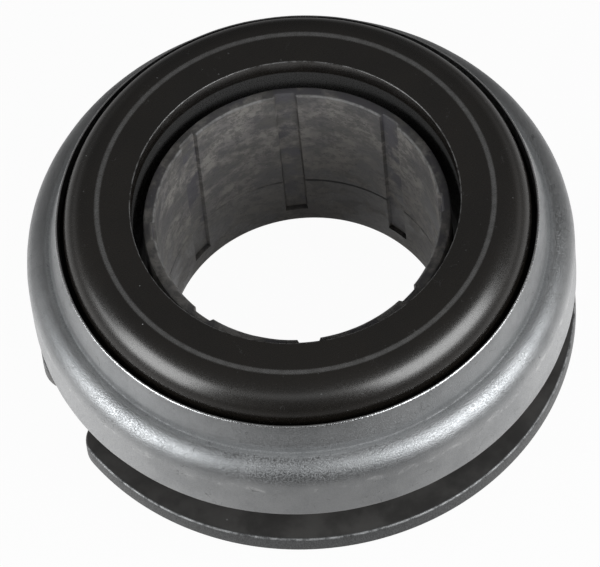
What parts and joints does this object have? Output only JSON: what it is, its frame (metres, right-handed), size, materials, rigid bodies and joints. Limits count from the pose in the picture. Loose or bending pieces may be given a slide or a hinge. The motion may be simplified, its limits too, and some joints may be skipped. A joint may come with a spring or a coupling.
{
  "type": "clutch release bearing",
  "caption": "Clutch release bearing with a black contact ring, a pressed steel cover that floats sideways on a grooved guide sleeve, and a notched thrust plate.",
  "frame": {"origin": "on the bearing's axis, at the rear end of the guide sleeve, which is the part's lowest face", "axes": "+Z along the axis from the gearbox side to the contact face, X through the two notches of the thrust plate"},
  "size_m": [0.067, 0.067, 0.0321],
  "materials": {
    "sleeve_plastic": "moulded, glass filled, mottled",
    "plate_steel": "black phosphated",
    "plain_steel": "stamped",
    "spring_steel": "blued",
    "race_steel": "ground",
    "cage_plastic": "moulded",
    "black_ring_steel": "black oxide, satin",
    "seal_rubber": "matte",
    "cover_steel": "pressed, satin",
    "ball_steel": "polished"
  },
  "bodies": {
    "carrier": {"guide_sleeve": "sleeve_plastic", "thrust_plate": "plate_steel", "spacer_tube": "plate_steel", "support_plate": "plain_steel"},
    "slide_washer": {"centring_spring": "spring_steel"},
    "bearing_housing": {"cover": "cover_steel", "outer_ring": "race_steel", "front_seal": "seal_rubber", "rear_seal": "seal_rubber", "retaining_ring": "plain_steel"},
    "rotor": {"contact_ring": "black_ring_steel"},
    "cage_set": {"ball_cage": "cage_plastic", "ball_01": "ball_steel", "ball_02": "ball_steel", "ball_03": "ball_steel", "ball_04": "ball_steel", "ball_05": "ball_steel", "ball_06": "ball_steel", "ball_07": "ball_steel", "ball_08": "ball_steel", "ball_09": "ball_steel", "ball_10": "ball_steel", "ball_11": "ball_steel", "ball_12": "ball_steel", "ball_13": "ball_steel", "ball_14": "ball_steel", "ball_15": "ball_steel", "ball_16": "ball_steel", "ball_17": "ball_steel", "ball_18": "ball_steel", "ball_19": "ball_steel", "ball_20": "ball_steel"}
  },
  "joints": [
    {"name": "centre_x", "type": "slide", "parent": "carrier", "child": "slide_washer", "axis": [1, 0, 0], "range_m": [-0.0008, 0.0008]},
    {"name": "centre_y", "type": "slide", "parent": "slide_washer", "child": "bearing_housing", "axis": [0, 1, 0], "range_m": [-0.0008, 0.0008]},
    {"name": "ring_spin", "type": "hinge", "parent": "bearing_housing", "child": "rotor", "pos_m": [0, 0, 0.0321], "axis": [0, 0, 1], "continuous": true},
    {"name": "cage_spin", "type": "hinge", "parent": "bearing_housing", "child": "cage_set", "pos_m": [0, 0, 0.0228], "axis": [0, 0, 1], "continuous": true}
  ],
  "couplings": [
    {"joint": "cage_spin", "follows": "ring_spin", "ratio": 0.4621}
  ]
}
